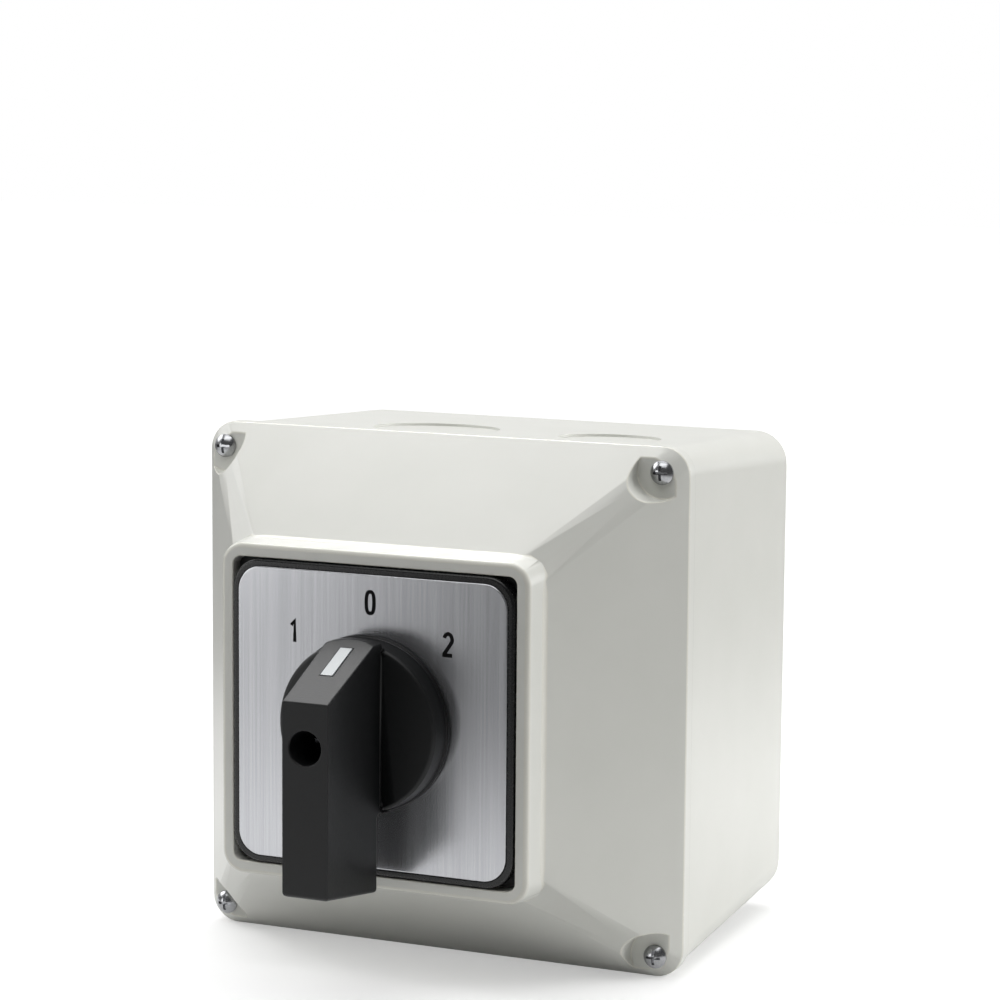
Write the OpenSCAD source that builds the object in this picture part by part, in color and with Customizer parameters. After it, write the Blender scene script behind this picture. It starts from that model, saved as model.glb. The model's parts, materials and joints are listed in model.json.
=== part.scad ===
// Enclosed rotary cam switch with the positions 1, 0 and 2.
// The wall face lies in the plane y = 0, the knob points towards -Y and +Z is up.
// Outlines are drawn as seen from the front, x to the right and z up.

/* [Enclosure] */
// Width and height of the cover flange
case_w = 110; // [104:0.5:130]
// Corner radius of the cover flange
case_r = 6; // [5:0.1:9]
// Depth of the base, from the wall to the parting line
base_d = 62; // [58:0.5:90]
// How far the flange stands proud of the base on each side
base_step = 0.6; // [0.2:0.1:1.2]
// How much the left and right sides of the base draw in towards the wall
base_draft = 1.5; // [0.5:0.1:2.5]
// How much the upper and lower sides of the base draw in towards the wall
end_draft = 2.8; // [0.5:0.1:3.2]
// Corner radius of the base at the wall
base_back_r = 7; // [4:0.1:8]
// Side wall of the base
wall = 3; // [2.4:0.1:4]
// Back wall of the base
back_wall = 3; // [2:0.1:5]
// Leg of the solid corner pillars that take the cover screws
pillar_leg = 13; // [12:0.1:16]
// Thickness of the cover flange
flange_t = 3.3; // [2.5:0.1:5]
// Depth of the sloped part of the cover
slope_d = 26.8; // [22:0.1:34]
// Leg of the flat ridge between two slopes
ridge_leg = 4.7; // [3:0.1:7]
// Depth of the soft step from the flange to the slopes
edge_d = 1.5; // [1:0.1:3]
// Wall of the slopes, measured across the part
slope_wall = 3.3; // [2.5:0.1:4]

/* [Window] */
// Width and height of the window that takes the face plate
window_w = 63.3; // [60:0.1:66]
// Corner radius of the window
window_r = 1.8; // [1:0.1:4]
// Width of the rim round the window
rim_t = 2.7; // [2:0.1:4]
// Corner radius of the rim
rim_r = 4.7; // [3:0.1:6]
// Height of the rim above the foot of the slopes
rim_d = 6.3; // [5:0.1:9]
// Draft of the rim on each side
rim_draft = 0.5; // [0.1:0.1:1]
// Reach of the rim's wall into the slopes
rim_sink = 3; // [2:0.1:4]
// Depth of the window down to the panel
window_d = 3.5; // [3:0.1:5]
// Thickness of the panel that carries the switch
panel_t = 2.5; // [2:0.1:4]

/* [Cover fixing] */
// Distance of the cover screws from the edges of the flange
screw_in = 5; // [4.7:0.1:6]
// Radius of the round pockets for the screw heads
pocket_r = 5.5; // [4:0.1:5.8]
// Material under the pocket floor, down to the parting line
pocket_web = 6; // [4:0.1:8]
// Radius of the cover screw's thread
cover_screw_r = 1.5; // [1.2:0.05:1.8]
// Length of the cover screw under its head
cover_screw_len = 15; // [12:0.5:18]
// Radius of the cover screw's head
cover_head_r = 2.45; // [2:0.05:3]
// Height of the cover screw's head
cover_head_h = 1.7; // [1.2:0.05:2.4]
// Outer radius of the brass insert
insert_r = 2.3; // [2.1:0.05:2.8]
// Length of the brass insert
insert_len = 8; // [5:0.1:12]
// Width of the gasket cord
gasket_w = 1.4; // [1:0.1:1.8]
// Depth of the gasket groove
groove_d = 1.6; // [1:0.1:2.5]
// Wall between the groove and the inside of the base
groove_wall = 0.8; // [0.5:0.1:1]
// Wall of the lip that guides the cover into the base
lip_t = 1.6; // [1:0.1:2]
// Depth of that lip inside the base
lip_d = 3; // [2:0.1:6]

/* [Openings of the base] */
// Radius of the large knockout
knockout_big_r = 13.6; // [10:0.1:16]
// Place of the large knockout across the base
knockout_big_x = -11.1; // [-16:0.1:-8]
// Radius of the small knockout
knockout_small_r = 10.8; // [8:0.1:13]
// Place of the small knockout across the base
knockout_small_x = 29.1; // [24:0.1:32]
// Distance of the knockouts from the parting line
knockout_in = 17; // [16:0.1:30]
// Depth of the knockout recess
knockout_d = 0.6; // [0.3:0.05:1.2]
// Distance of the wall holes from the left and right sides of the base
wall_hole_side = 20.9; // [15.9:0.5:27.9]
// Distance of the wall holes from the upper and lower sides of the base
wall_hole_end = 9.6; // [8.6:0.5:22.6]
// Radius of the wall holes
wall_hole_r = 2.25; // [1.5:0.05:3]
// Radius of the bosses round the wall holes
wall_boss_r = 5; // [4:0.1:6]
// Height of those bosses inside the base
wall_boss_h = 2; // [0.5:0.1:4]

/* [Face plate] */
// Gap between the face plate frame and the window
frame_gap = 0.25; // [0.1:0.05:0.6]
// Corner radius of the frame
frame_r = 6; // [3:0.1:8]
// Width of the frame's border round the dial
frame_border = 1.4; // [1:0.1:3]
// How far the border stays behind the dial's face
border_low = 0.3; // [0:0.05:0.8]
// How far the dial stands proud of the window rim
dial_proud = 0.8; // [0.2:0.1:2]
// Thickness of the dial plate
dial_t = 0.8; // [0.5:0.1:1.5]
// Thickness of the rubber sheet behind the frame
sheet_t = 0.8; // [0.5:0.1:1.2]
// Radius of the hole for the knob's hub
hub_hole_r = 9.3; // [8:0.1:11]
// Distance of the panel screws from the sides of the switch block
panel_screw_in = 6; // [5.5:0.1:7]
// Radius of the panel screw's thread
panel_screw_r = 1.95; // [1.5:0.05:2.1]
// Length of the panel screw under its head
panel_screw_len = 10; // [8:0.5:12]
// Radius of the panel screw's head
panel_head_r = 3.2; // [2.8:0.05:3.6]
// Height of the panel screw's head
panel_head_h = 1.4; // [1:0.05:1.6]
// Web of the frame under that head
frame_web = 1.2; // [0.8:0.05:1.25]

/* [Knob] */
// Height of the knob's front face above the dial
knob_h = 28.1; // [25:0.1:34]
// Radius of the disc at its front face
disc_front_r = 17.3; // [15:0.1:17.4]
// Radius of the disc at its lip
disc_r = 18; // [17.9:0.1:20]
// Height of the disc's front face above the dial
disc_h = 6.3; // [4:0.1:7]
// Rounding of the disc's front edge
disc_round = 0.8; // [0.4:0.1:1.5]
// Thickness of the lip at the back of the disc
disc_lip = 0.9; // [0.5:0.1:1.5]
// Gap between the disc and the dial
disc_gap = 0.4; // [0.2:0.05:1]
// Width of the grip at its front face
grip_w = 10; // [9.2:0.1:12]
// How much each side of the grip widens down to the disc
grip_draft = 0.5; // [0:0.05:1]
// Height of the grip's top edge above the axis, at the front face
grip_top = 8.9; // [6:0.1:10]
// Radius of the round end of the grip above the axis
grip_round_r = 18.2; // [17:0.1:18.2]
// Rise of the pointer slope for each unit of depth
slope_ratio = 0.45; // [0.38:0.01:0.5]
// Reach of the grip below the axis, at the front face
tail_front = 29.8; // [26:0.1:36]
// Reach of the grip below the axis, at the back of the tail
tail_back = 32.7; // [27:0.1:38]
// Height of the back of the tail above the dial
tail_h = 7.5; // [7:0.1:10]
// Radius of the screw hole in the front face
knob_hole_r = 3.4; // [3:0.05:4]
// Depth of the screw head below the front face
knob_screw_deep = 7.5; // [5:0.1:9]
// Web of the knob under the screw head
knob_web = 2; // [1.2:0.1:3]
// Radius of the knob screw's thread
knob_screw_r = 1.9; // [1.5:0.05:2.1]
// Length of the knob screw under its head
knob_screw_len = 12; // [8:0.5:16]
// Radius of the knob screw's head
knob_head_r = 3.05; // [2.6:0.05:3.3]
// Height of the knob screw's head
knob_head_h = 1.9; // [1.2:0.05:2.5]
// Width of the white mark
mark_w = 2.6; // [1.5:0.1:4]
// Length of the white mark along the slope
mark_len = 9.6; // [6:0.1:10]
// Thickness of the white mark
mark_t = 0.8; // [0.5:0.05:1.2]
// Distance of the white mark from the front edge of the slope
mark_in = 9.8; // [8.6:0.1:10]

/* [Shaft and detent] */
// Side of the square shaft
shaft_w = 7; // [6:0.1:7.2]
// Radius of the shaft's rear journal
journal_r = 3.4; // [2.5:0.05:3.45]
// Corner radius of the switch block
mech_r = 3; // [2:0.1:4]
// Room in the detent housing behind the star wheel
star_room = 1.7; // [0.5:0.1:3]
// Front wall of the detent housing
housing_wall = 3; // [2.5:0.1:4]
// Wall of the turning hubs round the corners of the shaft
hub_wall = 1.4; // [0.9:0.05:1.9]
// Wall of the collar that passes through the panel
collar_wall = 4.1; // [2:0.1:4.9]
// Radial running gap of the bearings
bearing_gap = 0.05; // [0.02:0.01:0.1]
// Depth of the stops between the star wheel and the wall of its chamber
stop_depth = 4.5; // [4.2:0.1:5.5]
// Thickness of the star wheel
star_t = 8; // [6:0.1:8.2]
// Radius of the notches
notch_r = 3.2; // [2.6:0.1:3.6]
// Depth of the notches
notch_d = 1.8; // [1.2:0.05:2.2]
// Distance of the detent chamber from the sides of the switch block
chamber_in = 6.5; // [6:0.1:7]
// Gap between the stop lug and the wall of the chamber
lug_gap = 0.7; // [0.5:0.1:1.5]
// Half angle of the stop lug
lug_half = 10; // [6:1:12]
// Angle left between the lug and its stop at the end of the turn
stop_play = 1.5; // [0.5:0.1:2]
// Radius of the detent plunger's nose
nose_r = 2.2; // [1.6:0.1:2.6]
// Width of the detent plunger
detent_w = 7; // [6:0.1:8]
// Length of the detent plunger behind its nose
detent_len = 4; // [3:0.1:4.4]
// Wire radius of the detent springs
detent_wire_r = 0.25; // [0.15:0.01:0.3]
// Coil radius of the detent springs
detent_coil_r = 1.7; // [1.2:0.05:2]

/* [Contact decks] */
// Room in a contact deck behind its cam
cam_room = 2; // [1.5:0.1:3]
// Front wall of a contact deck
deck_wall = 2.2; // [1.8:0.05:2.3]
// Least height of a cam above its hub
cam_rise = 1; // [0.7:0.05:1.4]
// Travel of a plunger to each side of its middle
lift = 1.6; // [1:0.05:1.7]
// Radius of a plunger's nose
follower_r = 1.8; // [1.4:0.05:2]
// Gap between a cam and a plunger
cam_gap = 0.15; // [0.1:0.01:0.25]
// Thickness of a cam
cam_t = 8; // [7:0.1:8.2]
// Width of a plunger
follower_w = 5; // [4:0.1:6]
// Depth of the moving parts and the strips along the axis
strip_d = 6; // [5:0.1:6.4]
// Radius of the pin that carries the bridge
pin_r = 1.2; // [0.9:0.05:1.4]
// Length of that pin above the bridge
pin_len = 1.8; // [1:0.1:2]
// Wall between the bridge's chamber and a terminal recess
bridge_wall = 1.9; // [1.5:0.1:2.9]
// Thickness of the contact strips and the bridge
strip_t = 1; // [0.8:0.05:1.2]
// Radius of the silver contact tips
tip_r = 1.6; // [1:0.05:1.9]
// Height of the silver contact tips
tip_h = 0.8; // [0.5:0.05:1]
// Distance of the contact tips from the ends of the bridge
tip_in = 1.8; // [1.6:0.1:2.2]
// Gap left between the tips of a closed contact
tip_gap = 0.15; // [0.05:0.01:0.25]
// Reach of the fixed strips past the middle of their tips
strip_reach = 2.2; // [1.8:0.1:3.2]
// Depth of the terminal recess from the side of the deck
terminal_in = 8.5; // [8:0.1:8.8]
// Distance of the terminal plate from the side of the deck
plate_in = 2.8; // [2.6:0.1:3.2]
// Half height of the barrier between two terminals
barrier = 3.5; // [3:0.1:4]
// Radius of the terminal screws
terminal_screw_r = 1.5; // [1.2:0.05:1.6]
// Radius of the heads of the terminal screws
terminal_head_r = 2.8; // [2.2:0.05:3]
// Height of the heads of the terminal screws
terminal_head_h = 1.8; // [1.2:0.05:2.2]
// Thickness of the clamp washers
washer_t = 0.8; // [0.5:0.05:1]
// Coil radius of the contact springs
spring_coil_r = 1.8; // [1.65:0.05:2]
// Wire radius of the contact springs
spring_wire_r = 0.22; // [0.15:0.01:0.25]
// Turns of each spring
spring_turns = 4; // [3:1:4]
// Length of the contact springs in the middle position
spring_room = 4.6; // [4.2:0.1:6]
// Outer wall over the contact springs
deck_side = 1.7; // [1.2:0.05:1.9]
// Thickness of the end plate
end_t = 5; // [4:0.1:7]
// Distance of the tie bolts from the sides of the switch block
tie_in = 3.5; // [3.3:0.1:3.8]
// Radius of the tie bolts
tie_r = 1.5; // [1.2:0.05:1.6]
// Width across the flats of the tie nuts
nut_w = 5.5; // [5:0.1:5.6]
// Thickness of the tie nuts
nut_t = 2.4; // [1.8:0.1:2.6]
// Radius of the tie bolt heads
tie_head_r = 2.8; // [2.4:0.1:3]
// Height of the tie bolt heads
tie_head_h = 2; // [1.5:0.1:2.6]

/* [Hidden] */
$fn = 64;
// Facets of the rounded corners that are blended by a hull
hull_fn = 32;
// Overrun of every cut
over = 1;
// Turn of the knob to each side, one notch of the star wheel
turn = 45;
notches = 360 / turn;
// One deck for each pole
decks = 3;
// Angle by which the cam's spiral runs on past the turn
spiral_over = 6;
// Angle from +X to the piece that rides on a cam or on the star wheel
rider_angle = 90;
// Rings in each turn of a spring and sides of its wire
coil_rings = 8;
coil_sides = 6;
// Thickness of the slices between which a tapered body is blended
film = 0.02;
// Play of a piece that sits still in its seat
seat_gap = 0.05;
// Play of a piece that slides
slide_gap = 0.15;
// Play of a screw in its clearance hole
hole_gap = 0.25;
// Shares of a screw head's radius and height: how flat its dome is, and the size of its cross
dome_share = 1.15;
slot_width_share = 0.24;
slot_reach_share = 0.62;
slot_depth_share = 0.6;
// Axial play between turning pieces and the housings
end_gap = 0.3;

enclosure_grey = [0.86, 0.87, 0.84];
knob_black = [0.13, 0.13, 0.14];
frame_black = [0.1, 0.1, 0.11];
rubber_black = [0.07, 0.07, 0.07];
dial_silver = [0.74, 0.75, 0.77];
mark_white = [0.93, 0.94, 0.93];
zinc = [0.72, 0.73, 0.75];
steel = [0.6, 0.61, 0.63];
brass = [0.79, 0.62, 0.3];
copper = [0.76, 0.46, 0.3];
deck_black = [0.16, 0.15, 0.15];
cam_cream = [0.85, 0.79, 0.62];
star_green = [0.3, 0.42, 0.36];

// Planes of the enclosure along y, from the wall to the front
y_part = -base_d;
y_flange = y_part - flange_t;
y_foot = y_flange - slope_d;
y_rim = y_foot - rim_d;
y_panel = y_rim + window_d;
y_mech = y_panel + panel_t;
y_pocket = y_part - pocket_web;

// Widths of the enclosure
base_w = case_w - 2 * base_step;
base_back_w = base_w - 2 * base_draft;
base_back_h = base_w - 2 * end_draft;
base_in_w = base_w - 2 * wall;
base_back_in_w = base_back_w - 2 * wall;
base_back_in_h = base_back_h - 2 * wall;
wall_hole_x = base_back_w - 2 * wall_hole_side;
wall_hole_z = base_back_h - 2 * wall_hole_end;
screw_pitch = case_w - 2 * screw_in;
rim_w = window_w + 2 * rim_t;
foot_w = rim_w + 2 * rim_draft;
rim_base_w = rim_w + 2 * rim_draft * (rim_d + rim_sink) / rim_d;
edge_w = case_w - (case_w - foot_w) * edge_d / slope_d;
lip_w = base_in_w - 2 * slide_gap;
lip_in_w = lip_w - 2 * lip_t;
panel_in_w = foot_w - 2 * slope_wall;
draft_angle = atan(end_draft / base_d);

// Face plate
y_dial = y_rim - dial_proud;
y_recess = y_dial + dial_t;
y_border = y_dial + border_low;
y_frame = y_panel - sheet_t;
y_panel_seat = y_frame - frame_web;
frame_w = window_w - 2 * frame_gap;
dial_w = frame_w - 2 * frame_border;
dial_r = frame_r - frame_border * 2 / 3;

// Knob and shaft
y_knob = y_dial - knob_h;
y_disc = y_dial - disc_h;
y_disc_back = y_dial - disc_gap;
y_knob_seat = y_knob + knob_screw_deep + knob_head_h;
y_socket = y_knob_seat + knob_web;
y_shaft = y_socket + end_gap;
slope_angle = atan(slope_ratio);

// Radii round the shaft, from the inside to the outside
bore_w = shaft_w + 2 * seat_gap;
hub_r = bore_w / sqrt(2) + hub_wall;
collar_r = hub_r + bearing_gap + collar_wall;
pitch_r = hub_r + cam_rise + lift + cam_gap + follower_r;
cam_room_r = pitch_r + end_gap;
strip_top = pitch_r + follower_r + strip_t / 2;
bridge_low = strip_top + 2 * tip_h + tip_gap;
bridge_z = bridge_low + lift;
spring_z = bridge_z + strip_t;
spring_top = spring_z + spring_room;
mech_w = 2 * (spring_top + deck_side);
tie_pitch = mech_w - 2 * tie_in;
panel_pitch = mech_w - 2 * panel_screw_in;

// Detent housing
y_chamber = y_mech + housing_wall;
housing_d = housing_wall + end_gap + star_t + star_room;
y_deck = y_mech + housing_d;
y_star = y_chamber + end_gap;
y_star_mid = y_star + star_t / 2;
chamber_r = mech_w / 2 - chamber_in;
star_r = chamber_r - stop_depth;
lug_r = chamber_r - lug_gap;
nose_z = star_r + slide_gap + nose_r;
detent_top = nose_z + detent_len;

// Contact decks
cam_in = deck_wall + end_gap;
deck_d = cam_in + cam_t + cam_room;
strip_y = deck_wall + (deck_d - deck_wall) / 2;
terminal_x = mech_w / 2 - terminal_in;
plate_x = mech_w / 2 - plate_in;
terminal_z = (barrier + strip_top) / 2;
bridge_room_w = 2 * (terminal_x - bridge_wall);
bridge_w = bridge_room_w - 4 * end_gap;
tip_x = bridge_w / 2 - tip_in;
strip_in = tip_x - strip_reach;
y_end = y_deck + decks * deck_d;
cam_slope = lift / turn;
cam_run = turn + spiral_over;

// A slab of the outline, from y_back towards the front
module forward(y_back, depth)
    translate([0, y_back, 0]) rotate([90, 0, 0]) linear_extrude(depth) children();

// A slab of an outline that is drawn as y against z, centred across the part
module across(w)
    translate([-w / 2, 0, 0]) rotate([90, 0, 90]) linear_extrude(w) children();

// A body blended from the first outline at y_back to the second at y_front
module tapered(y_back, y_front)
    hull() {
        forward(y_back, film) children(0);
        forward(y_front + film, film) children(1);
    }

// Copies at the four corners of a square
module at_corners(pitch)
    for (x = [-1, 1], z = [-1, 1])
        translate([x * pitch / 2, 0, z * pitch / 2]) children();

module rounded_oblong(w, h, r) {
    square([w, h - 2 * r], center = true);
    square([w - 2 * r, h], center = true);
    for (x = [-1, 1], z = [-1, 1])
        translate([x * (w / 2 - r), z * (h / 2 - r)]) circle(r);
}

module rounded_square(w, r) rounded_oblong(w, w, r);

module chamfered_oblong(w, h, leg)
    intersection() {
        square([w, h], center = true);
        rotate(45) square(((w + h) / 2 - leg) * sqrt(2), center = true);
    }

module chamfered_square(w, leg) chamfered_oblong(w, w, leg);

// Leg of a chamfer whose outline is moved outwards by d
function moved_leg(leg, d) = leg + (2 - sqrt(2)) * d;

// A sector of the plane between two angles
module sector(from, to, reach)
    polygon([[0, 0], reach * [cos(from), sin(from)], reach * [cos(to), sin(to)]]);

// A round rod whose end lies at y_back
module rod(y_back, length, r) forward(y_back, length) circle(r);

// Pan head with a cross recess, its seat in the plane y = 0 and its top towards the front
module cross_head(r, h) {
    dome_r = (r * r + h * h) / (2 * h) * dome_share;
    slot_w = r * slot_width_share;
    slot_len = 2 * r * slot_reach_share;
    slot_d = h * slot_depth_share;
    difference() {
        intersection() {
            rod(0, h, r);
            translate([0, dome_r - h, 0]) sphere(dome_r);
        }
        for (turned = [0, 90])
            rotate([0, turned, 0])
                translate([-slot_len / 2, -h - over, -slot_w / 2])
                    cube([slot_len, slot_d + over, slot_w]);
    }
}

// A cross-head screw, seated in the plane y = 0 with its thread towards the wall
module cross_screw(head_r, head_h, r, length) {
    cross_head(head_r, head_h);
    rod(length, length, r);
}

// A coil spring along +Z as one unbroken tube of triangles
module coil(r, wire_r, turns, length) {
    rings = turns * coil_rings;
    points = [for (i = [0:rings], k = [0:coil_sides - 1])
        let (a = 360 * i / coil_rings, b = 360 * k / coil_sides, out = r + wire_r * cos(b))
        [out * cos(a), out * sin(a), wire_r + (length - 2 * wire_r) * i / rings + wire_r * sin(b)]];
    walls = [for (i = [0:rings - 1], k = [0:coil_sides - 1])
        let (next = (k + 1) % coil_sides, low = i * coil_sides, high = low + coil_sides)
        each [[low + k, low + next, high + next], [low + k, high + next, high + k]]];
    last = rings * coil_sides;
    caps = [for (k = [1:coil_sides - 2])
        each [[0, k + 1, k], [last, last + k, last + k + 1]]];
    polyhedron(points, concat(walls, caps));
}

// Base, seen from the front: an open box with a solid pillar in each corner
module base_outside()
    tapered(0, y_part) {
        rounded_oblong(base_back_w, base_back_h, base_back_r, $fn = hull_fn);
        rounded_square(base_w, case_r - base_step, $fn = hull_fn);
    }

module base_room()
    tapered(-back_wall, y_part - over) {
        chamfered_oblong(base_back_in_w, base_back_in_h, pillar_leg);
        chamfered_square(base_in_w, pillar_leg);
    }

module groove_outline(clear) {
    inner = groove_wall + clear;
    outer = groove_wall + gasket_w - clear;
    difference() {
        chamfered_square(base_in_w + 2 * outer, moved_leg(pillar_leg, outer));
        chamfered_square(base_in_w + 2 * inner, moved_leg(pillar_leg, inner));
    }
}

module knockout(x, r)
    for (side = [-1, 1]) {
        face_z = base_w / 2 - end_draft * knockout_in / base_d;
        translate([x, y_part + knockout_in, side * face_z])
            rotate([side * -draft_angle, 0, 0])
                translate([0, 0, side > 0 ? -knockout_d : -over])
                    cylinder(h = knockout_d + over, r = r);
    }

module base_box()
    color(enclosure_grey)
        difference() {
            union() {
                difference() {
                    base_outside();
                    base_room();
                }
                for (x = [-1, 1], z = [-1, 1])
                    translate([x * wall_hole_x / 2, 0, z * wall_hole_z / 2])
                        rod(-back_wall / 2, back_wall / 2 + wall_boss_h, wall_boss_r);
            }
            forward(y_part + groove_d, groove_d + over) groove_outline(0);
            at_corners(screw_pitch) {
                rod(y_part + insert_len, insert_len + over, insert_r);
                rod(y_part + cover_screw_len, cover_screw_len, cover_screw_r + hole_gap);
            }
            for (x = [-1, 1], z = [-1, 1])
                translate([x * wall_hole_x / 2, 0, z * wall_hole_z / 2])
                    rod(over, back_wall + wall_boss_h + 2 * over, wall_hole_r);
            knockout(knockout_big_x, knockout_big_r);
            knockout(knockout_small_x, knockout_small_r);
        }

// Cover: flange, four slopes with flat ridges, window rim and guiding lip
module cover_outside() {
    hull() {
        forward(y_part, flange_t) rounded_square(case_w, case_r, $fn = hull_fn);
        forward(y_flange - edge_d + film, film) chamfered_square(edge_w, ridge_leg);
        forward(y_foot + film, film) chamfered_square(foot_w, ridge_leg);
    }
    tapered(y_foot + rim_sink, y_rim) {
        rounded_square(rim_base_w, rim_r, $fn = hull_fn);
        rounded_square(rim_w, rim_r, $fn = hull_fn);
    }
}

module cover_room() {
    room_leg = moved_leg(pillar_leg, -slide_gap - lip_t);
    hull() {
        forward(y_part + over, flange_t + over) chamfered_square(lip_in_w, room_leg);
        forward(y_mech, film) chamfered_square(panel_in_w, ridge_leg);
    }
}

module cover_lip()
    forward(y_part + lip_d, lip_d + film)
        difference() {
            chamfered_square(lip_w, moved_leg(pillar_leg, -slide_gap));
            chamfered_square(lip_in_w, moved_leg(pillar_leg, -slide_gap - lip_t));
        }

module front_cover()
    color(enclosure_grey) {
        difference() {
            cover_outside();
            cover_room();
            forward(y_panel, window_d + over) rounded_square(window_w, window_r);
            at_corners(screw_pitch) {
                rod(y_pocket, slope_d, pocket_r);
                rod(y_part + over, pocket_web + 2 * over, cover_screw_r + hole_gap);
            }
            at_corners(panel_pitch)
                rod(y_mech + over, panel_t + 2 * over, panel_screw_r + hole_gap);
            rod(y_mech + over, panel_t + 2 * over, collar_r + hole_gap);
        }
        cover_lip();
    }

module cover_gasket()
    color(rubber_black)
        forward(y_part + groove_d - seat_gap, groove_d - seat_gap) groove_outline(seat_gap);

module cover_screws()
    color(zinc)
        at_corners(screw_pitch)
            translate([0, y_pocket, 0])
                cross_screw(cover_head_r, cover_head_h, cover_screw_r, cover_screw_len);

// Brass inserts with a waist between two collars
module screw_inserts() {
    collar = insert_len / 3;
    color(brass)
        at_corners(screw_pitch)
            translate([0, y_part, 0])
                difference() {
                    union() {
                        rod(collar, collar, insert_r - seat_gap);
                        rod(insert_len, collar, insert_r - seat_gap);
                        rod(insert_len, insert_len, (insert_r + cover_screw_r) / 2);
                    }
                    rod(insert_len + over, insert_len + 2 * over, cover_screw_r + seat_gap);
                }
}

module faceplate_frame()
    color(frame_black)
        difference() {
            forward(y_frame, y_frame - y_border) rounded_square(frame_w, frame_r);
            forward(y_recess, dial_t + over)
                rounded_square(dial_w + 2 * seat_gap, dial_r + seat_gap);
            rod(y_frame + over, y_frame - y_border + 2 * over, hub_hole_r);
            at_corners(panel_pitch) {
                rod(y_frame + over, y_frame - y_border + 2 * over, panel_screw_r + hole_gap);
                rod(y_panel_seat, window_d, panel_head_r + hole_gap);
            }
        }

module dial_plate()
    color(dial_silver)
        forward(y_recess, dial_t)
            difference() {
                rounded_square(dial_w, dial_r);
                circle(hub_hole_r);
            }

module panel_gasket()
    color(rubber_black)
        forward(y_panel, sheet_t)
            difference() {
                rounded_square(frame_w, window_r);
                circle(collar_r);
                for (x = [-1, 1], z = [-1, 1])
                    translate([x * panel_pitch / 2, z * panel_pitch / 2])
                        circle(panel_screw_r + hole_gap);
            }

module panel_screws()
    color(zinc)
        at_corners(panel_pitch)
            translate([0, y_panel_seat, 0])
                cross_screw(panel_head_r, panel_head_h, panel_screw_r, panel_screw_len);

// Knob: a dished disc, a grip bar with a pointer slope and a tail, and a hub behind
module knob_disc() {
    lip_y = y_disc_back - disc_lip;
    waist_r = disc_r - disc_lip / 2;
    rotate([90, 0, 0])
        rotate_extrude()
            union() {
                polygon([
                    [0, -y_disc_back], [disc_r, -y_disc_back], [disc_r, -lip_y],
                    [waist_r, -lip_y], [disc_front_r, -y_disc - disc_round],
                    [disc_front_r - disc_round, -y_disc], [0, -y_disc]
                ]);
                translate([disc_front_r - disc_round, -y_disc - disc_round]) circle(disc_round);
            }
}

// Side outline of the grip, drawn as y against z
module grip_side() {
    y_in = y_disc + disc_round;
    y_tail = y_dial - tail_h;
    polygon([
        [y_in, grip_top + slope_ratio * (y_in - y_knob)], [y_knob, grip_top],
        [y_knob, -tail_front], [y_tail, -tail_back],
        [y_tail, -disc_front_r], [y_in, -disc_front_r + disc_round]
    ]);
}

// Top outline of the grip, drawn as x against y: it widens down to the disc
module grip_width() {
    y_in = y_disc + disc_round;
    polygon([
        [-grip_w / 2 - grip_draft, y_in], [grip_w / 2 + grip_draft, y_in],
        [grip_w / 2, y_knob], [-grip_w / 2, y_knob]
    ]);
}

module knob_grip()
    intersection() {
        across(2 * grip_w) grip_side();
        translate([0, 0, -2 * tail_back]) linear_extrude(4 * tail_back) grip_width();
        union() {
            rod(y_dial, 2 * knob_h, grip_round_r);
            translate([-grip_w, y_dial - 2 * knob_h, -2 * tail_back])
                cube([2 * grip_w, 2 * knob_h, 2 * tail_back]);
        }
    }

// Places its children on the pointer slope, y up the slope and z out of it
module on_slope()
    translate([0, y_knob, grip_top]) rotate([slope_angle, 0, 0]) children();

module mark_block(clear, low, high)
    on_slope()
        translate([-mark_w / 2 - clear, mark_in - clear, low])
            cube([mark_w + 2 * clear, mark_len + 2 * clear, high - low]);

module knob()
    color(knob_black)
        difference() {
            union() {
                knob_disc();
                knob_grip();
                rod(y_frame, y_frame - y_disc_back, hub_hole_r - end_gap);
            }
            translate([-bore_w / 2, y_socket, -bore_w / 2])
                cube([bore_w, y_frame - y_socket + over, bore_w]);
            rod(y_socket + over, knob_web + 2 * over, knob_screw_r + hole_gap);
            rod(y_knob_seat, knob_h, knob_hole_r);
            mark_block(seat_gap, -mark_t - seat_gap, over);
        }

module pointer_mark() color(mark_white) mark_block(0, -mark_t, seat_gap);

module knob_screw()
    color(zinc)
        translate([0, y_knob_seat, 0])
            cross_screw(knob_head_r, knob_head_h, knob_screw_r, knob_screw_len);

module shaft()
    color(steel)
        difference() {
            union() {
                translate([-shaft_w / 2, y_shaft, -shaft_w / 2])
                    cube([shaft_w, y_end - end_gap - y_shaft, shaft_w]);
                rod(y_end + end_t - end_gap, end_t, journal_r);
            }
            rod(y_knob_seat + knob_screw_len + end_gap, knob_screw_len, knob_screw_r + seat_gap);
        }

// Detent wheel: round notches, a stop lug on the right and a hub that turns in the collar
module star_wheel()
    color(star_green)
        difference() {
            union() {
                forward(y_star + star_t, star_t) {
                    difference() {
                        circle(star_r);
                        for (i = [0:notches - 1])
                            rotate(turn * i + rider_angle)
                                translate([star_r - notch_d + notch_r, 0]) circle(notch_r);
                    }
                    intersection() {
                        circle(lug_r);
                        sector(-lug_half, lug_half, 2 * lug_r);
                    }
                }
                rod(y_star + star_t / 2, star_t / 2 + y_star - y_panel, hub_r);
                rod(y_deck + cam_in - seat_gap, y_deck + cam_in - y_star_mid, hub_r);
            }
            translate([-bore_w / 2, y_panel - over, -bore_w / 2])
                cube([bore_w, y_deck + cam_in - y_panel + 2 * over, bore_w]);
        }

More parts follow.
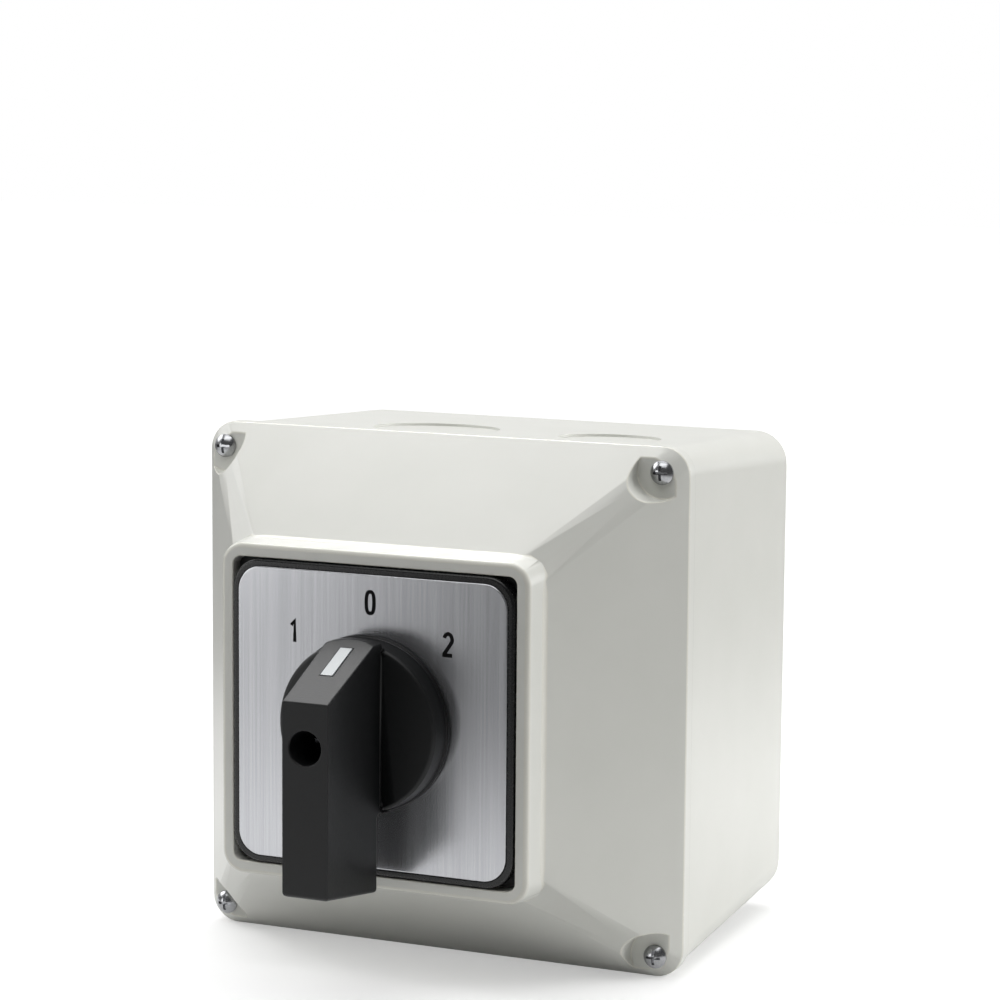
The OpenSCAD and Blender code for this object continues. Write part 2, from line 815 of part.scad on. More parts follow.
// Room of the detent chamber: stops and plunger guides stand in a round well
module chamber_outline() {
    guide_x = detent_w / 2 + slide_gap;
    stop_at = turn + lug_half + stop_play;
    difference() {
        circle(chamber_r);
        for (side = [-1, 1], up = [-1, 1])
            difference() {
                scale([side, up])
                    intersection() {
                        difference() {
                            circle(chamber_r + over);
                            circle(star_r + end_gap);
                        }
                        sector(stop_at, rider_angle, 2 * chamber_r);
                    }
                translate([-guide_x, -chamber_r - over]) square([2 * guide_x, 2 * (chamber_r + over)]);
            }
    }
    translate([-guide_x, -spring_top]) square([2 * guide_x, 2 * spring_top]);
}

module detent_housing()
    color(deck_black)
        difference() {
            union() {
                forward(y_deck, housing_d) rounded_square(mech_w, mech_r);
                rod(y_mech, panel_t, collar_r);
            }
            forward(y_deck + over, housing_d - housing_wall + over) chamber_outline();
            rod(y_deck, housing_d + panel_t + over, hub_r + bearing_gap);
            at_corners(panel_pitch)
                rod(y_panel_seat + panel_screw_len + end_gap, panel_screw_len, panel_screw_r + seat_gap);
            for (side = [-1, 1])
                translate([side * tie_pitch / 2, 0, 0]) {
                    rod(y_deck + over, housing_d + 2 * over, tie_r + hole_gap);
                    rod(y_mech + nut_t, nut_t + over, (nut_w / 2 + slide_gap) / cos(30), $fn = 6);
                }
        }

// Detent plunger above the axis, with a round nose and a pocket for its spring
module detent_plunger()
    color(zinc)
        difference() {
            forward(y_star + star_t - end_gap, star_t - 2 * end_gap) {
                translate([0, nose_z]) circle(nose_r);
                translate([-nose_r, nose_z]) square([2 * nose_r, nose_r]);
                translate([-detent_w / 2, nose_z + nose_r / 2])
                    square([detent_w, detent_top - nose_z - nose_r / 2]);
            }
            translate([0, y_star_mid, detent_top - detent_len / 2])
                cylinder(h = detent_len, r = detent_coil_r + detent_wire_r + slide_gap);
        }

module detent_spring()
    color(steel)
        translate([0, y_star_mid, detent_top - detent_len / 2])
            coil(detent_coil_r, detent_wire_r, spring_turns, spring_top - detent_top + detent_len / 2);

// A contact deck above and below the cam: bridge chamber, strip slots and terminal recesses
module deck_outline() {
    half = mech_w / 2;
    difference() {
        rounded_square(mech_w, mech_r);
        circle(cam_room_r);
        for (up = [-1, 1])
            scale([1, up]) {
                translate([-bridge_room_w / 2, strip_top])
                    square([bridge_room_w, spring_top - strip_top]);
                translate([-follower_w / 2 - slide_gap, 0])
                    square([follower_w + 2 * slide_gap, strip_top + over / 2]);
                for (side = [-1, 1])
                    scale([side, 1]) {
                        translate([strip_in, strip_top - strip_t - seat_gap])
                            square([half - strip_in - plate_in, strip_t + 2 * seat_gap]);
                        translate([terminal_x, barrier])
                            square([terminal_in + over, strip_top - barrier]);
                    }
            }
    }
}

module deck(y_front)
    color(deck_black)
        difference() {
            union() {
                forward(y_front + deck_d, deck_d - deck_wall) deck_outline();
                forward(y_front + deck_wall, deck_wall) rounded_square(mech_w, mech_r);
            }
            rod(y_front + deck_wall + over, deck_wall + 2 * over, hub_r + slide_gap);
            for (side = [-1, 1])
                translate([side * tie_pitch / 2, 0, 0])
                    rod(y_front + deck_d + over, deck_d + 2 * over, tie_r + hole_gap);
        }

// Distance of a plunger's nose from the axis when the cam turns it to angle a from +X:
// an even spiral through the middle, and level at both ends
function nose_at(a) = pitch_r + cam_slope * max(-cam_run, min(cam_run, rider_angle - a));

// Point of the cam that stays one nose radius and the gap inside the nose's path
function cam_point(a) =
    let (
        r = nose_at(a),
        spiral = abs(rider_angle - a) < cam_run,
        tilt = spiral ? atan(cam_slope * 180 / PI / r) : 0,
        gap = follower_r + cam_gap
    )
    [(r - gap * cos(tilt)) * cos(a) + gap * sin(tilt) * sin(a),
     (r - gap * cos(tilt)) * sin(a) - gap * sin(tilt) * cos(a)];

module cam_outline() {
    step = 3;
    half = [for (a = [0:step:180])
        let (off = abs(rider_angle - a))
        if (off <= cam_run - step || off >= cam_run + step) cam_point(a)];
    back = [for (i = [len(half) - 2:-1:1]) [half[i][0], -half[i][1]]];
    polygon(concat(half, back));
}

module cam(y_front)
    color(cam_cream)
        difference() {
            union() {
                forward(y_front + cam_in + cam_t, cam_t) cam_outline();
                rod(y_front + deck_d + cam_in - seat_gap, deck_d - cam_t, hub_r);
            }
            translate([-bore_w / 2, y_front, -bore_w / 2])
                cube([bore_w, deck_d + cam_in + over, bore_w]);
        }

// Fixed contact on the right above the axis: strip, silver tip and terminal plate
module fixed_contact(y_front)
    difference() {
        union() {
            forward(y_front + strip_y + strip_d / 2, strip_d) {
                translate([strip_in + seat_gap, strip_top - strip_t])
                    square([plate_x - strip_in - seat_gap, strip_t]);
                translate([plate_x - strip_t, barrier + seat_gap])
                    square([strip_t, strip_top - barrier - seat_gap]);
            }
            translate([tip_x, y_front + strip_y, strip_top - strip_t / 2])
                cylinder(h = strip_t / 2 + tip_h, r = tip_r);
        }
        translate([plate_x - 2 * strip_t, y_front + strip_y, terminal_z])
            rotate([0, 90, 0]) cylinder(h = 3 * strip_t, r = terminal_screw_r + seat_gap);
    }

module fixed_contacts(y_front)
    color(copper)
        for (side = [-1, 1], up = [-1, 1])
            scale([side, 1, up]) fixed_contact(y_front);

// Plunger above the axis, with a round nose on the cam and a pin through the bridge
module plunger(y_front)
    color(cam_cream) {
        forward(y_front + strip_y + strip_d / 2, strip_d) {
            translate([0, pitch_r]) circle(follower_r);
            translate([-follower_r, pitch_r]) square([2 * follower_r, follower_r]);
            translate([-follower_w / 2, pitch_r + follower_r / 2])
                square([follower_w, bridge_z - pitch_r - follower_r / 2]);
        }
        translate([0, y_front + strip_y, bridge_z - strip_t / 2])
            cylinder(h = strip_t * 3 / 2 + pin_len, r = pin_r);
    }

module bridge(y_front)
    color(copper)
        difference() {
            union() {
                translate([-bridge_w / 2, y_front + strip_y - strip_d / 2, bridge_z])
                    cube([bridge_w, strip_d, strip_t]);
                for (side = [-1, 1])
                    translate([side * tip_x, y_front + strip_y, bridge_z - tip_h])
                        cylinder(h = tip_h + strip_t / 2, r = tip_r);
            }
            translate([0, y_front + strip_y, bridge_z - over])
                cylinder(h = strip_t + 2 * over, r = pin_r + seat_gap);
        }

module contact_spring(y_front)
    color(steel)
        translate([0, y_front + strip_y, spring_z])
            coil(spring_coil_r, spring_wire_r, spring_turns, spring_room);

// A terminal screw on the right above the axis lies along x, its head outwards
module terminal_screws()
    color(zinc)
        for (i = [0:decks - 1], side = [-1, 1], up = [-1, 1])
            scale([side, 1, up])
                translate([plate_x + washer_t, y_deck + i * deck_d + strip_y, terminal_z])
                    rotate([0, 0, 90])
                        cross_screw(terminal_head_r, terminal_head_h,
                            terminal_screw_r, plate_in + 2 * strip_t);

module clamp_washers()
    color(zinc)
        for (i = [0:decks - 1], side = [-1, 1], up = [-1, 1])
            scale([side, 1, up])
                translate([plate_x, y_deck + i * deck_d + strip_y, terminal_z])
                    difference() {
                        translate([0, -terminal_head_r, -terminal_head_r])
                            cube([washer_t, 2 * terminal_head_r, 2 * terminal_head_r]);
                        translate([-over, 0, 0])
                            rotate([0, 90, 0])
                                cylinder(h = washer_t + 2 * over, r = terminal_screw_r + seat_gap);
                    }

module end_plate()
    color(deck_black)
        difference() {
            forward(y_end + end_t, end_t) rounded_square(mech_w, mech_r);
            rod(y_end + end_t + over, end_t + 2 * over, journal_r + bearing_gap);
            rod(y_end + cam_in, cam_in + over, hub_r + slide_gap);
            for (side = [-1, 1])
                translate([side * tie_pitch / 2, 0, 0])
                    rod(y_end + end_t + over, end_t + 2 * over, tie_r + hole_gap);
        }

// Tie bolts pull the whole block together, heads at the wall side
module tie_bolts()
    color(zinc)
        for (side = [-1, 1])
            translate([side * tie_pitch / 2, y_end + end_t, 0])
                rotate([0, 0, 180])
                    cross_screw(tie_head_r, tie_head_h, tie_r, y_end + end_t - y_mech - seat_gap);

module tie_nuts()
    color(zinc)
        for (side = [-1, 1])
            translate([side * tie_pitch / 2, 0, 0])
                difference() {
                    rod(y_mech + nut_t, nut_t - seat_gap, nut_w / 2 / cos(30), $fn = 6);
                    rod(y_mech + nut_t + over, nut_t + 2 * over, tie_r + seat_gap);
                }

// Half a turn about the axis carries a piece from above to below
module below() mirror([0, 0, 1]) children();
function deck_front(i) = y_deck + (i - 1) * deck_d;

base_box();
front_cover();
cover_gasket();
cover_screws();
screw_inserts();
faceplate_frame();
dial_plate();
panel_gasket();
panel_screws();
knob();
pointer_mark();
knob_screw();
shaft();
star_wheel();
detent_housing();
detent_plunger();  // detent_plunger_top
below() detent_plunger();  // detent_plunger_bottom
detent_spring();  // detent_spring_top
below() detent_spring();  // detent_spring_bottom
deck(deck_front(1));  // deck_1
deck(deck_front(2));  // deck_2
deck(deck_front(3));  // deck_3
cam(deck_front(1));  // cam_1
cam(deck_front(2));  // cam_2
cam(deck_front(3));  // cam_3
fixed_contacts(deck_front(1));  // fixed_contacts_1
fixed_contacts(deck_front(2));  // fixed_contacts_2
fixed_contacts(deck_front(3));  // fixed_contacts_3
plunger(deck_front(1));  // plunger_1_top
below() plunger(deck_front(1));  // plunger_1_bottom
plunger(deck_front(2));  // plunger_2_top
below() plunger(deck_front(2));  // plunger_2_bottom
plunger(deck_front(3));  // plunger_3_top
below() plunger(deck_front(3));  // plunger_3_bottom
bridge(deck_front(1));  // bridge_1_top
below() bridge(deck_front(1));  // bridge_1_bottom
bridge(deck_front(2));  // bridge_2_top
below() bridge(deck_front(2));  // bridge_2_bottom
bridge(deck_front(3));  // bridge_3_top
below() bridge(deck_front(3));  // bridge_3_bottom
contact_spring(deck_front(1));  // spring_1_top
below() contact_spring(deck_front(1));  // spring_1_bottom
contact_spring(deck_front(2));  // spring_2_top
below() contact_spring(deck_front(2));  // spring_2_bottom
contact_spring(deck_front(3));  // spring_3_top
below() contact_spring(deck_front(3));  // spring_3_bottom
terminal_screws();
clamp_washers();
end_plate();
tie_bolts();
tie_nuts();
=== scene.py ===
import json
import math

import bmesh
import bpy
import numpy as np
from mathutils import Matrix, Vector

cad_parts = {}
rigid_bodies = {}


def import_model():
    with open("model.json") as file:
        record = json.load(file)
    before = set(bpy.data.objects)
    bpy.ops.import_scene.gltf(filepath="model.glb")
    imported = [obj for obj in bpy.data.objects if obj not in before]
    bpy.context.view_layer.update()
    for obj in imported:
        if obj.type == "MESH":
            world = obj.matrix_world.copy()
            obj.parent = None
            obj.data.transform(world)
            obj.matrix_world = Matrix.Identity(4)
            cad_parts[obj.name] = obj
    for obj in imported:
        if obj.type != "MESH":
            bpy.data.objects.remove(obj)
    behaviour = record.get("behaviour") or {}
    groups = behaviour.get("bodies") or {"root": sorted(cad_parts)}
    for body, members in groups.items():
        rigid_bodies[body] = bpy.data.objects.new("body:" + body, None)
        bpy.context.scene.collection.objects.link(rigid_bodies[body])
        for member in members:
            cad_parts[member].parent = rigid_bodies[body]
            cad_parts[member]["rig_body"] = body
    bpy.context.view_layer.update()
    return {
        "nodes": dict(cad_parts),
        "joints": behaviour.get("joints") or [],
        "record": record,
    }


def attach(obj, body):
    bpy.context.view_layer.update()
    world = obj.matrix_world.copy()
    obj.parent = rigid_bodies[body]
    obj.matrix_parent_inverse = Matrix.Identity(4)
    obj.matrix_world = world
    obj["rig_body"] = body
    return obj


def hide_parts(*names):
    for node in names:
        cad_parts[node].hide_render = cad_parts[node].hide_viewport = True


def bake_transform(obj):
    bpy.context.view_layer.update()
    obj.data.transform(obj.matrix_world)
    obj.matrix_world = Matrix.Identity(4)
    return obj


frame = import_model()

# Enclosed rotary cam switch, positions 1, 0 and 2.
# Lengths in the dictionaries are millimetres; mm() turns them into Blender's metres.
print("stage: frame loaded,", len(frame["nodes"]), "nodes")
perMetre = 1000
white = (1.0, 1.0, 1.0, 1.0)


def mm(value):
    return value / perMetre


def linearColour(hexText):
    # sRGB hex text to linear red, green, blue and alpha
    parts = np.array([int(hexText[i:i + 2], 16) for i in (0, 2, 4)]) / 255
    linear = np.where(parts <= 0.04045, parts / 12.92, ((parts + 0.055) / 1.055) ** 2.4)
    return (*linear.tolist(), 1.0)


def addNode(tree, kind, settings=None, links=None):
    # settings: property, input name or input number -> value; links: input -> output socket
    made = tree.nodes.new(kind)
    for key, value in (settings or {}).items():
        if isinstance(key, int) or key in made.inputs:
            made.inputs[key].default_value = value
        else:
            setattr(made, key, value)
    for key, source in (links or {}).items():
        tree.links.new(source, made.inputs[key])
    return made


def newMaterial(name, settings):
    # settings: shader input -> value; the place output gives the piece's own coordinates in metres
    material = bpy.data.materials.new(name)
    material.use_nodes = True
    tree = material.node_tree
    shader = tree.nodes["Principled BSDF"]
    for key, value in settings.items():
        shader.inputs[key].default_value = value
    place = addNode(tree, "ShaderNodeTexCoord").outputs["Object"]
    return material, tree, shader, place


def patternedSkin(tree, shader, look, tonePattern, grainPattern):
    # the colour wanders from dark to light with the first pattern and the roughness between its two
    # ends with the second; inputs 6 and 7 and output 2 of the Mix node are its colours
    colours = {"data_type": "RGBA", 6: linearColour(look["dark"]), 7: linearColour(look["light"])}
    tone = addNode(tree, "ShaderNodeMix", colours, {0: tonePattern})
    tree.links.new(tone.outputs[2], shader.inputs["Base Color"])
    smooth, rough = look["roughness"]
    grip = addNode(tree, "ShaderNodeMapRange", {"To Min": smooth, "To Max": rough}, {"Value": grainPattern})
    tree.links.new(grip.outputs["Result"], shader.inputs["Roughness"])


def newObject(name, data):
    # data: a mesh, a camera or a light
    made = bpy.data.objects.new(name, data)
    bpy.context.scene.collection.objects.link(made)
    return made


def smoothFaces(mesh):
    mesh.polygons.foreach_set("use_smooth", np.ones(len(mesh.polygons), bool))


def mergedWork(mesh, joined):
    # an editable copy of the mesh, in which points closer than joined, in mm, are one
    work = bmesh.new()
    work.from_mesh(mesh)
    bmesh.ops.remove_doubles(work, verts=work.verts, dist=mm(joined))
    return work


absLook = {
    "dark": "DADBD4",
    "light": "E2E2DC",
    "toneSize": 16.0,        # mm between slow changes of tone
    "grainSize": 0.4,        # mm, spark-eroded mould surface, drawn a little coarse to show
    "grainDepth": 0.005,
    "sinkSize": 9.0,         # mm, shallow waves of the shrunk wall that bend the highlights
    "sinkDepth": 0.02,
    "roughness": (0.26, 0.36),
}
# the same plastic on the cover's rounded edges: painted paler as a painted highlight along them, and
# smoother
edgeHighlightAbsLook = {**absLook, "dark": "E4E3D9", "light": "E9E8DF", "roughness": (0.22, 0.3)}


def mouldedAbs(name, look):
    # injection-moulded ABS, light warm grey: soft gloss, broad highlights, a hint of mould grain
    material, tree, shader, place = newMaterial(name, {"IOR": 1.53})
    tone = addNode(tree, "ShaderNodeTexNoise", {"Scale": 1 / mm(look["toneSize"]), "Detail": 3.0},
                   {"Vector": place})
    grain = addNode(tree, "ShaderNodeTexNoise", {"Scale": 1 / mm(look["grainSize"]), "Detail": 2.0},
                    {"Vector": place})
    patternedSkin(tree, shader, look, tone.outputs["Fac"], grain.outputs["Fac"])
    sink = addNode(tree, "ShaderNodeTexNoise", {"Scale": 1 / mm(look["sinkSize"]), "Detail": 1.0},
                   {"Vector": place})
    waves = addNode(tree, "ShaderNodeBump", {"Distance": mm(look["sinkDepth"])},
                    {"Height": sink.outputs["Fac"]})
    fine = addNode(tree, "ShaderNodeBump", {"Distance": mm(look["grainDepth"])},
                   {"Height": grain.outputs["Fac"], "Normal": waves.outputs["Normal"]})
    tree.links.new(fine.outputs["Normal"], shader.inputs["Normal"])
    return material


nylonLook = {
    "dark": "111213",
    "light": "18191A",
    "grainSize": 0.45,       # mm, short glass fibres that dull the skin, drawn coarse to show
    "grainDepth": 0.014,
    "roughness": (0.36, 0.5),
    "sheen": 0.28,           # specular level: the fibres at the skin take some of the gloss away
}


def glassFilledNylon():
    # glass-filled polyamide, moulded: nearly black, dull sheen broken up by a fine grain
    look = nylonLook
    material, tree, shader, place = newMaterial("glassFilledNylonBlack",
                                                {"IOR": 1.5, "Specular IOR Level": look["sheen"]})
    grain = addNode(tree, "ShaderNodeTexNoise", {"Scale": 1 / mm(look["grainSize"]), "Detail": 3.0},
                    {"Vector": place})
    patternedSkin(tree, shader, look, grain.outputs["Fac"], grain.outputs["Fac"])
    fine = addNode(tree, "ShaderNodeBump", {"Distance": mm(look["grainDepth"])},
                   {"Height": grain.outputs["Fac"]})
    tree.links.new(fine.outputs["Normal"], shader.inputs["Normal"])
    return material


dialLook = {
    "dark": "A9AAAE",
    "light": "C8C9CC",
    "streakWidth": 0.3,      # mm, grit of the brushing belt, drawn coarse to show
    "streakLength": 40.0,
    "roughness": (0.19, 0.25),
    "spread": 0.3,           # how far the streaks draw highlights out, from 0 to 1
    "metal": 0.84,           # the rest is the milky oxide layer, which scatters
}


def brushedAluminium():
    # anodised aluminium, brushed upwards: streaks along z and highlights drawn out sideways
    look = dialLook
    material, tree, shader, place = newMaterial("brushedAluminium",
                                                {"Metallic": look["metal"], "Anisotropic": look["spread"]})
    across, along = 1 / mm(look["streakWidth"]), 1 / mm(look["streakLength"])
    stretched = addNode(tree, "ShaderNodeMapping", {"Scale": (across, along, along)}, {"Vector": place})
    streak = addNode(tree, "ShaderNodeTexNoise", {"Scale": 1.0, "Detail": 2.0},
                     {"Vector": stretched.outputs["Vector"]})
    patternedSkin(tree, shader, look, streak.outputs["Fac"], streak.outputs["Fac"])
    sideways = addNode(tree, "ShaderNodeTangent", {"direction_type": "RADIAL", "axis": "Z"})
    tree.links.new(sideways.outputs["Tangent"], shader.inputs["Tangent"])
    return material


# Bare metals: crystal is the mm across one crystal of the plating or patch of the drawn or turned
# skin, drawn coarse to show
metalLooks = {
    "zinc_steel": {"name": "zincPlatedSteel", "dark": "8F9093", "light": "B2B3B5",
                   "crystal": 0.35, "roughness": (0.16, 0.3)},
    "shaft_steel": {"name": "drawnSteel", "dark": "9C9EA1", "light": "B2B4B6",
                    "crystal": 0.5, "roughness": (0.28, 0.42)},
    "spring_steel": {"name": "springSteel", "dark": "84868A", "light": "9A9C9F",
                     "crystal": 0.3, "roughness": (0.25, 0.38)},
    "brass": {"name": "turnedBrass", "dark": "BD9850", "light": "D0AB63",
              "crystal": 0.4, "roughness": (0.2, 0.32)},
    "contact_copper": {"name": "copperAlloy", "dark": "BD8462", "light": "D09877",
                       "crystal": 0.4, "roughness": (0.25, 0.38)},
}


def bareMetal(look):
    # zinc-plated or drawn steel and turned alloys: bright, with a faint cloudy crystal pattern
    material, tree, shader, place = newMaterial(look["name"], {"Metallic": 1.0})
    cloud = addNode(tree, "ShaderNodeTexNoise", {"Scale": 1 / mm(look["crystal"]), "Detail": 3.0},
                    {"Vector": place})
    patternedSkin(tree, shader, look, cloud.outputs["Fac"], cloud.outputs["Fac"])
    return material


# Plastics, rubber and ink: grain and depth are the mould surface's, in mm, drawn coarse to show;
# sheen is the specular level
plasticLooks = {
    "frame_plastic": {"name": "blackMouldedAbs", "dark": "0E0F10", "light": "131415",
                      "grain": 0.35, "depth": 0.006, "roughness": (0.22, 0.32), "sheen": 0.4},
    "mark_plastic": {"name": "whiteInlay", "dark": "C3C8CA", "light": "CED2D3",
                     "grain": 0.4, "depth": 0.006, "roughness": (0.4, 0.5), "sheen": 0.5},
    "rubber": {"name": "nitrileRubber", "dark": "121212", "light": "191919",
               "grain": 0.5, "depth": 0.02, "roughness": (0.6, 0.75), "sheen": 0.5},
    "star_plastic": {"name": "greenAcetal", "dark": "466355", "light": "4F6D5F",
                     "grain": 0.4, "depth": 0.005, "roughness": (0.28, 0.38), "sheen": 0.5},
    "deck_plastic": {"name": "blackThermoset", "dark": "252322", "light": "2D2B2A",
                     "grain": 0.4, "depth": 0.01, "roughness": (0.4, 0.55), "sheen": 0.5},
    "cam_plastic": {"name": "creamAcetal", "dark": "D3C69B", "light": "DBCEA6",
                    "grain": 0.4, "depth": 0.005, "roughness": (0.28, 0.38), "sheen": 0.5},
}
inkLook = {"name": "padPrintInk", "dark": "0B0B0C", "light": "0F0F10",
           "grain": 0.3, "depth": 0.002, "roughness": (0.7, 0.85), "sheen": 0.1}


def grainedPlastic(look):
    # moulded plastics, rubber and ink: even colour, mould grain in the sheen
    material, tree, shader, place = newMaterial(look["name"],
                                                {"IOR": 1.5, "Specular IOR Level": look["sheen"]})
    grain = addNode(tree, "ShaderNodeTexNoise", {"Scale": 1 / mm(look["grain"]), "Detail": 2.0},
                    {"Vector": place})
    patternedSkin(tree, shader, look, grain.outputs["Fac"], grain.outputs["Fac"])
    fine = addNode(tree, "ShaderNodeBump", {"Distance": mm(look["depth"])},
                   {"Height": grain.outputs["Fac"]})
    tree.links.new(fine.outputs["Normal"], shader.inputs["Normal"])
    return material


materials = {
    "enclosure": mouldedAbs("mouldedAbsLightGrey", absLook),
    "knob_plastic": glassFilledNylon(),
    "dial_aluminium": brushedAluminium(),
    **{slot: grainedPlastic(look) for slot, look in plasticLooks.items()},
    **{slot: bareMetal(look) for slot, look in metalLooks.items()},
}
edgeHighlightAbs = mouldedAbs("mouldedAbsPaintedEdgeHighlight", edgeHighlightAbsLook)
for entry in frame["record"]["subparts"]:
    node = frame["nodes"][entry["node"]]
    node.data.materials.clear()
    node.data.materials.append(materials[entry["material_slot"]])
print("stage: materials made")


# Edges of the moulded pieces: each entry gives the rounding in mm of one kind of edge. Long edges of
# the cover are cut "ends" mm before they end, so that a wide rounding gets narrow before a corner.
# The rounding functions get the middles of the edges in mm and their directions as shares of their
# lengths, and give a rounding in mm for each
edgeLook = {
    "front_cover": {"plain": 0.3, "ridge": 0.5, "foot": 0.8, "rim": 0.9, "pocket": 0.3, "ends": 2.2},
    "base_box": {"back": 0.6, "knockout": 0.1},
    "faceplate_frame": {"outer": 0.6, "inner": 0.2},
    "dial_plate": {"plain": 0.3},
    "knob": {"plain": 0.35, "tail": 0.8, "tailFrom": -29.0},   # the tail lies below this z
    "pointer_mark": {"plain": 0.06},
    "segments": 3,
    # pieces whose rounded edges take the paler plastic, a painted highlight
    "highlightedEdges": ("front_cover",),
    "flat": 0.5,             # degrees: faces that meet flatter than this become one
    "sharpest": 24.0,        # degrees: flatter edges belong to a curved face and stay
    "long": 8.0,             # mm
    "joined": {"front_cover": 0.12, "base_box": 0.05},   # mm: closer corner points become one
    "joinedElse": 0.002,
}
# Planes and half widths of the cover and the frame, from the wall and from the shaft's axis
coverPlanes = {
    "flange": -65.3,
    "foot": -92.1,
    "rim": -98.4,
    "flangeHalf": 53.6,
    "rimHalf": 34.35,
    "windowHalf": 31.65,
    "straightHalf": 28.5,    # the rim's corners begin here
    "screwAt": 50.0,
    "pocketReach": 6.2,
    "near": 0.7,             # how close an edge lies to its plane
    "ridgeBand": 1.0,        # edges of a ridge lie this close to the outline
    "slope": 0.3,            # an edge down a ridge has at least this share of its length along y
}
basePlanes = {"back": -0.5, "joint": -58.0, "outside": 50.5}
framePlanes = {"step": -98.6, "cornerCentre": 25.4, "outerHalf": 31.1, "innerHalf": 29.8}


def coverRounding(middle, slant):
    look, plane = edgeLook["front_cover"], coverPlanes
    x, y, z = np.abs(middle[:, 0]), middle[:, 1], np.abs(middle[:, 2])
    reach, across = np.maximum(x, z), np.minimum(x, z)
    toScrew = np.hypot(x - plane["screwAt"], z - plane["screwAt"])
    share = np.clip((plane["flange"] - y) / (plane["flange"] - plane["foot"]), 0, 1)
    outline = plane["flangeHalf"] + share * (plane["rimHalf"] - plane["flangeHalf"])
    width = np.where(reach > outline - plane["ridgeBand"], look["plain"], 0)
    onSlope = (y > plane["foot"]) & (y < plane["flange"]) & (width > 0)
    width[onSlope & (np.abs(slant[:, 1]) > plane["slope"])] = look["ridge"]
    atFoot = (np.abs(y - plane["foot"]) < plane["near"]) & (reach > plane["rimHalf"] - plane["near"])
    width[atFoot & (across < plane["straightHalf"] - look["ends"])] = look["foot"]
    atRim = np.abs(y - plane["rim"]) < plane["near"]
    width[atRim & (reach > plane["windowHalf"] + plane["near"])] = look["rim"]
    width[atRim & (width == 0)] = look["plain"]
    width[(toScrew < plane["pocketReach"]) & (y < plane["flange"])] = look["pocket"]
    return width


def baseRounding(middle, slant):
    look, plane = edgeLook["base_box"], basePlanes
    reach = np.maximum(np.abs(middle[:, 0]), np.abs(middle[:, 2]))
    onSide = (reach > plane["outside"]) & (middle[:, 1] > plane["joint"])
    return np.where(middle[:, 1] > plane["back"], look["back"], np.where(onSide, look["knockout"], 0))


def frameRounding(middle, slant):
    look, plane = edgeLook["faceplate_frame"], framePlanes
    past = np.maximum(np.abs(middle[:, [0, 2]]) - plane["cornerCentre"], 0)
    reach = plane["cornerCentre"] + np.hypot(past[:, 0], past[:, 1])
    width = np.where(reach > plane["innerHalf"], look["inner"], 0)
    width = np.where(reach > plane["outerHalf"], look["outer"], width)
    return np.where(middle[:, 1] < plane["step"], width, 0)


def knobRounding(middle, slant):
    look = edgeLook["knob"]
    return np.where(middle[:, 2] < look["tailFrom"], look["tail"], look["plain"])


def plainRounding(look):
    return lambda middle, slant: np.full(len(middle), look["plain"])


def cutEnds(work, sharp, ends):
    # a point on every long sharp edge, the same distance from each of its two ends
    long = mm(edgeLook["long"])
    for edge in [e for e in work.edges if e.calc_face_angle(0) > sharp and e.calc_length() > long]:
        other, point = bmesh.utils.edge_split(edge, edge.verts[0], ends / edge.calc_length())
        rest = max(edge, other, key=lambda e: e.calc_length())
        bmesh.utils.edge_split(rest, rest.other_vert(point), ends / rest.calc_length())


def roundedCopy(nodeName, rounding):
    # a merged copy of the node, whose sharp edges get their rounding as bevel weights
    source = frame["nodes"][nodeName]
    work = mergedWork(source.data, edgeLook["joined"].get(nodeName, edgeLook["joinedElse"]))
    flat = math.radians(edgeLook["flat"])
    bmesh.ops.dissolve_limit(work, angle_limit=flat, verts=work.verts, edges=work.edges)
    sharp = math.radians(edgeLook["sharpest"])
    if "ends" in edgeLook[nodeName]:
        cutEnds(work, sharp, mm(edgeLook[nodeName]["ends"]))
    work.verts.index_update()
    points = np.array([v.co[:] for v in work.verts])
    faces = [[v.index for v in f.verts] for f in work.faces]
    kept = {tuple(sorted(v.index for v in e.verts)) for e in work.edges if e.calc_face_angle(0) > sharp}
    work.free()
    mesh = bpy.data.meshes.new(nodeName + ".rounded")
    mesh.from_pydata(points, [], faces)
    ends = np.zeros(len(mesh.edges) * 2, int)
    mesh.edges.foreach_get("vertices", ends)
    ends = ends.reshape(-1, 2)
    step = points[ends[:, 1]] - points[ends[:, 0]]
    slant = step / np.linalg.norm(step, axis=1, keepdims=True)
    isSharp = np.array([tuple(sorted(pair)) in kept for pair in ends.tolist()])
    width = np.where(isSharp, rounding(points[ends].mean(axis=1) * perMetre, slant), 0)
    weights = mesh.attributes.new("bevel_weight_edge", "FLOAT", "EDGE")
    weights.data.foreach_set("value", width / width.max())
    creases = mesh.attributes.new("sharp_edge", "BOOLEAN", "EDGE")
    creases.data.foreach_set("value", isSharp & (width == 0))
    smoothFaces(mesh)
    made = newObject(nodeName + "Rounded", mesh)
    bevel = made.modifiers.new("rounding", "BEVEL")
    bevel.width = mm(width.max())
    bevel.segments = edgeLook["segments"]
    bevel.limit_method = "WEIGHT"
    bevel.use_clamp_overlap = False
    bevel.harden_normals = nodeName not in edgeLook["joined"]
    if not bevel.harden_normals:
        made.modifiers.new("flatFacesStayFlat", "WEIGHTED_NORMAL").keep_sharp = True
    mesh.materials.append(source.data.materials[0])
    # the cover's rounded faces get the paler plastic, whose colour is a painted highlight
    if nodeName in edgeLook["highlightedEdges"]:
        mesh.materials.append(edgeHighlightAbs)
        bevel.material = 1   # the rounded faces take the second material
    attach(made, source["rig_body"])
    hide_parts(nodeName)


roundedCopy("front_cover", coverRounding)
roundedCopy("base_box", baseRounding)
roundedCopy("faceplate_frame", frameRounding)
roundedCopy("knob", knobRounding)
for name in ("dial_plate", "pointer_mark"):
    roundedCopy(name, plainRounding(edgeLook[name]))
print("stage: moulded pieces rounded")
